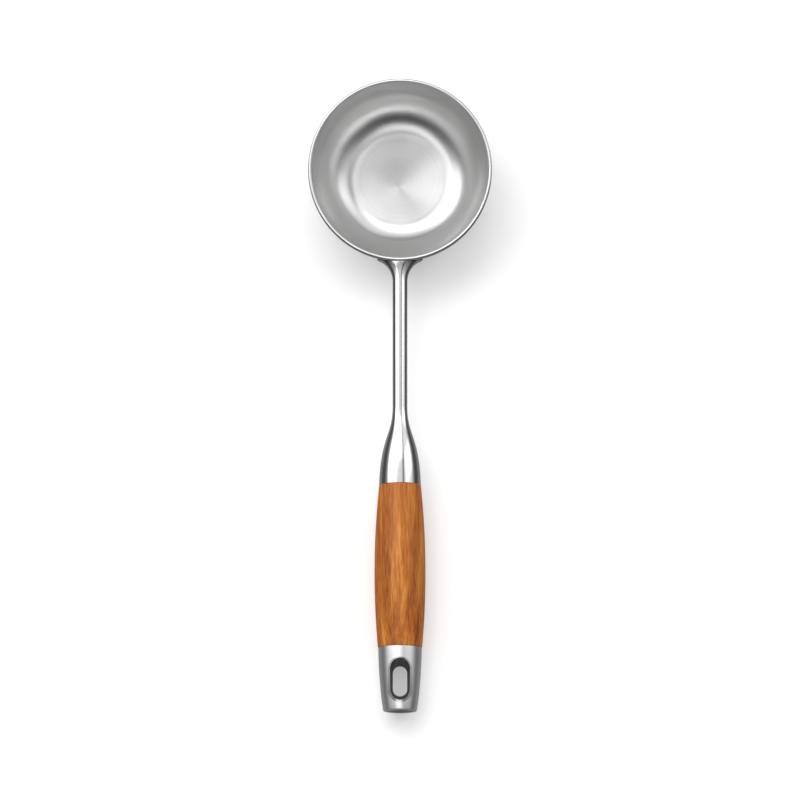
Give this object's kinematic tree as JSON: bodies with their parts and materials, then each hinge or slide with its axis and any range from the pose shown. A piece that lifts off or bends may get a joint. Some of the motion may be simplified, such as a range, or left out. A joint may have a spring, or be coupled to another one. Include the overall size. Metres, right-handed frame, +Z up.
{
  "type": "soup ladle",
  "caption": "Soup ladle with a round steel bowl, a slim steel shaft flaring into a ferrule, a barrel-shaped wood grip and a metal end cap pierced by a hang slot.",
  "frame": {"origin": "bottom centre of the box round the ladle as it lies on a table", "axes": "+Y from the tail to the bowl, +Z up out of the table, bowl open upwards, +X to the right seen from the tail"},
  "size_m": [0.095, 0.3268, 0.0457],
  "materials": {
    "bowl_steel": "fine circular brushing",
    "handle_steel": "satin polished",
    "slot_steel": "satin",
    "inner_steel": "turned",
    "wood": "satin oiled, grain along the grip"
  },
  "bodies": {
    "root": {"bowl": "bowl_steel", "shaft": "handle_steel", "ferrule": "handle_steel", "ferrule_insert": "inner_steel", "wood_grip": "wood", "end_cap": "handle_steel", "cap_nut": "inner_steel", "slot_sleeve": "slot_steel", "end_disc": "slot_steel"}
  },
  "joints": []
}
